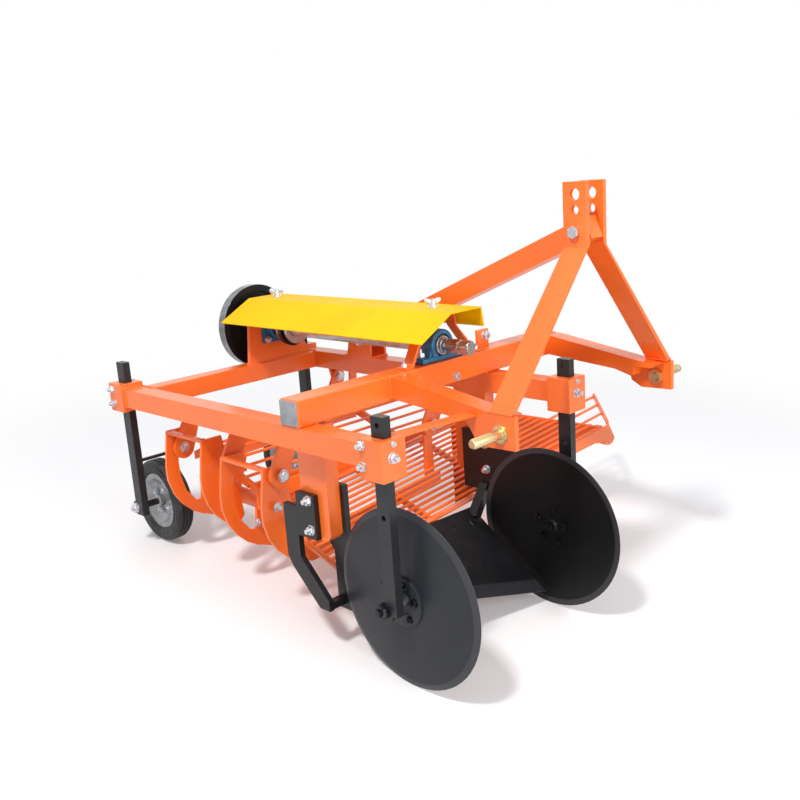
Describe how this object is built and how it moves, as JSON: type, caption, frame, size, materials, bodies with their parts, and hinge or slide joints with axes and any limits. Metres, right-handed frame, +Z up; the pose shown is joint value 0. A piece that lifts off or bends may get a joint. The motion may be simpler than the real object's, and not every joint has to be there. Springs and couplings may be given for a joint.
{
  "type": "potato harvester",
  "caption": "Three-point linkage potato harvester: coulter discs, ridged share, shaft-driven shaking sieve with side discharge, depth wheels.",
  "frame": {"origin": "on the floor, at the middle of the machine's footprint box", "axes": "+X towards the discharge side, +Y rearwards away from the tractor, +Z up; the machine stands parked on its discs and wheels, so its frame dips 5.4 degrees to the rear"},
  "size_m": [1.348, 1.3072, 1.032],
  "materials": {
    "orange_paint": "gloss paint over welded steel",
    "black_paint": "satin black paint",
    "yellow_paint": "gloss paint on folded sheet",
    "grey_paint": "pressed wheel centre, light grey",
    "yellow_zinc": "yellow zinc plate",
    "bright_steel": "turned and bright plated",
    "blue_casting": "blue paint on a casting",
    "tyre": "solid rubber, shallow rings"
  },
  "bodies": {
    "frame": {"bearing_front": "blue_casting", "bearing_rear": "blue_casting", "brace_bracket": "orange_paint", "clamp_front_far": "orange_paint", "clamp_front_near": "orange_paint", "clamp_rear_far": "orange_paint", "clamp_rear_near": "orange_paint", "disc_stem_far": "black_paint", "disc_stem_near": "black_paint", "drive_guard": "yellow_paint", "front_beam": "orange_paint", "guard_strap_front": "orange_paint", "hitch_arm_far": "orange_paint", "hitch_arm_near": "orange_paint", "lower_pin_far": "yellow_zinc", "lower_pin_near": "yellow_zinc", "mast_bolt": "bright_steel", "mast_brace": "orange_paint", "mast_far": "orange_paint", "mast_near": "orange_paint", "pedestal_rear": "orange_paint", "rear_beam": "orange_paint", "share": "black_paint", "share_arm_far": "black_paint", "share_arm_near": "black_paint", "share_leg_near": "black_paint", "side_beam_far": "orange_paint", "side_beam_near": "orange_paint", "tie_strap": "orange_paint", "wheel_stem_far": "black_paint", "wheel_stem_near": "black_paint"},
    "disc_near": {"coulter_disc_near": "black_paint"},
    "disc_far": {"coulter_disc_far": "black_paint"},
    "wheel_near": {"wheel_rim_near": "grey_paint", "wheel_tyre_near": "tyre"},
    "wheel_far": {"wheel_rim_far": "grey_paint", "wheel_tyre_far": "tyre"},
    "shaft": {"drive_shaft": "bright_steel", "flywheel": "black_paint", "eccentric": "bright_steel"},
    "rod": {"connecting_rod": "black_paint"},
    "sieve": {"rear_grid": "orange_paint", "sieve_bed": "orange_paint", "sieve_lip": "orange_paint", "sieve_rib_front": "orange_paint", "sieve_rib_middle": "orange_paint", "sieve_rib_rear": "orange_paint"},
    "near_hangers": {"hanger_near_front": "orange_paint", "hanger_near_middle": "orange_paint", "hanger_near_rear": "orange_paint"},
    "far_hangers": {"hanger_far_front": "orange_paint", "hanger_far_rear": "orange_paint"}
  },
  "joints": [
    {"name": "disc_near_spin", "type": "hinge", "parent": "frame", "child": "disc_near", "pos_m": [-0.593, -0.45356, 0.2], "axis": [1, 0, 0], "continuous": true},
    {"name": "disc_far_spin", "type": "hinge", "parent": "frame", "child": "disc_far", "pos_m": [-0.079, -0.45356, 0.2], "axis": [1, 0, 0], "continuous": true},
    {"name": "wheel_near_spin", "type": "hinge", "parent": "frame", "child": "wheel_near", "pos_m": [-0.565, 0.53606, 0.1175], "axis": [1, 0, 0], "continuous": true},
    {"name": "wheel_far_spin", "type": "hinge", "parent": "frame", "child": "wheel_far", "pos_m": [-0.107, 0.53606, 0.1175], "axis": [1, 0, 0], "continuous": true},
    {"name": "shaft_spin", "type": "hinge", "parent": "frame", "child": "shaft", "pos_m": [-0.201, 0.47033, 0.56969], "axis": [0, 0.9956, -0.0941], "continuous": true},
    {"name": "rod_pivot", "type": "hinge", "parent": "shaft", "child": "rod", "pos_m": [-0.193, 0.39566, 0.57675], "axis": [0, 0.9956, -0.0941], "continuous": true},
    {"name": "sieve_shake", "type": "slide", "parent": "frame", "child": "sieve", "axis": [0.9063, -0.0398, -0.4207], "range_m": [-0.008, 0.008]},
    {"name": "near_hangers_swing", "type": "hinge", "parent": "frame", "child": "near_hangers", "pos_m": [-0.546, 0.15538, 0.42569], "axis": [0, 0.9956, -0.0941], "range_deg": [-5.23, 5.23]},
    {"name": "far_hangers_swing", "type": "hinge", "parent": "frame", "child": "far_hangers", "pos_m": [-0.031, 0.1952, 0.42193], "axis": [0, 0.9956, -0.0941], "range_deg": [-5.23, 5.23]}
  ],
  "couplings": [
    {"joint": "rod_pivot", "follows": "shaft_spin", "ratio": -1},
    {"joint": "near_hangers_swing", "follows": "sieve_shake", "rad_per_m": -10.87},
    {"joint": "far_hangers_swing", "follows": "sieve_shake", "rad_per_m": -10.87}
  ]
}
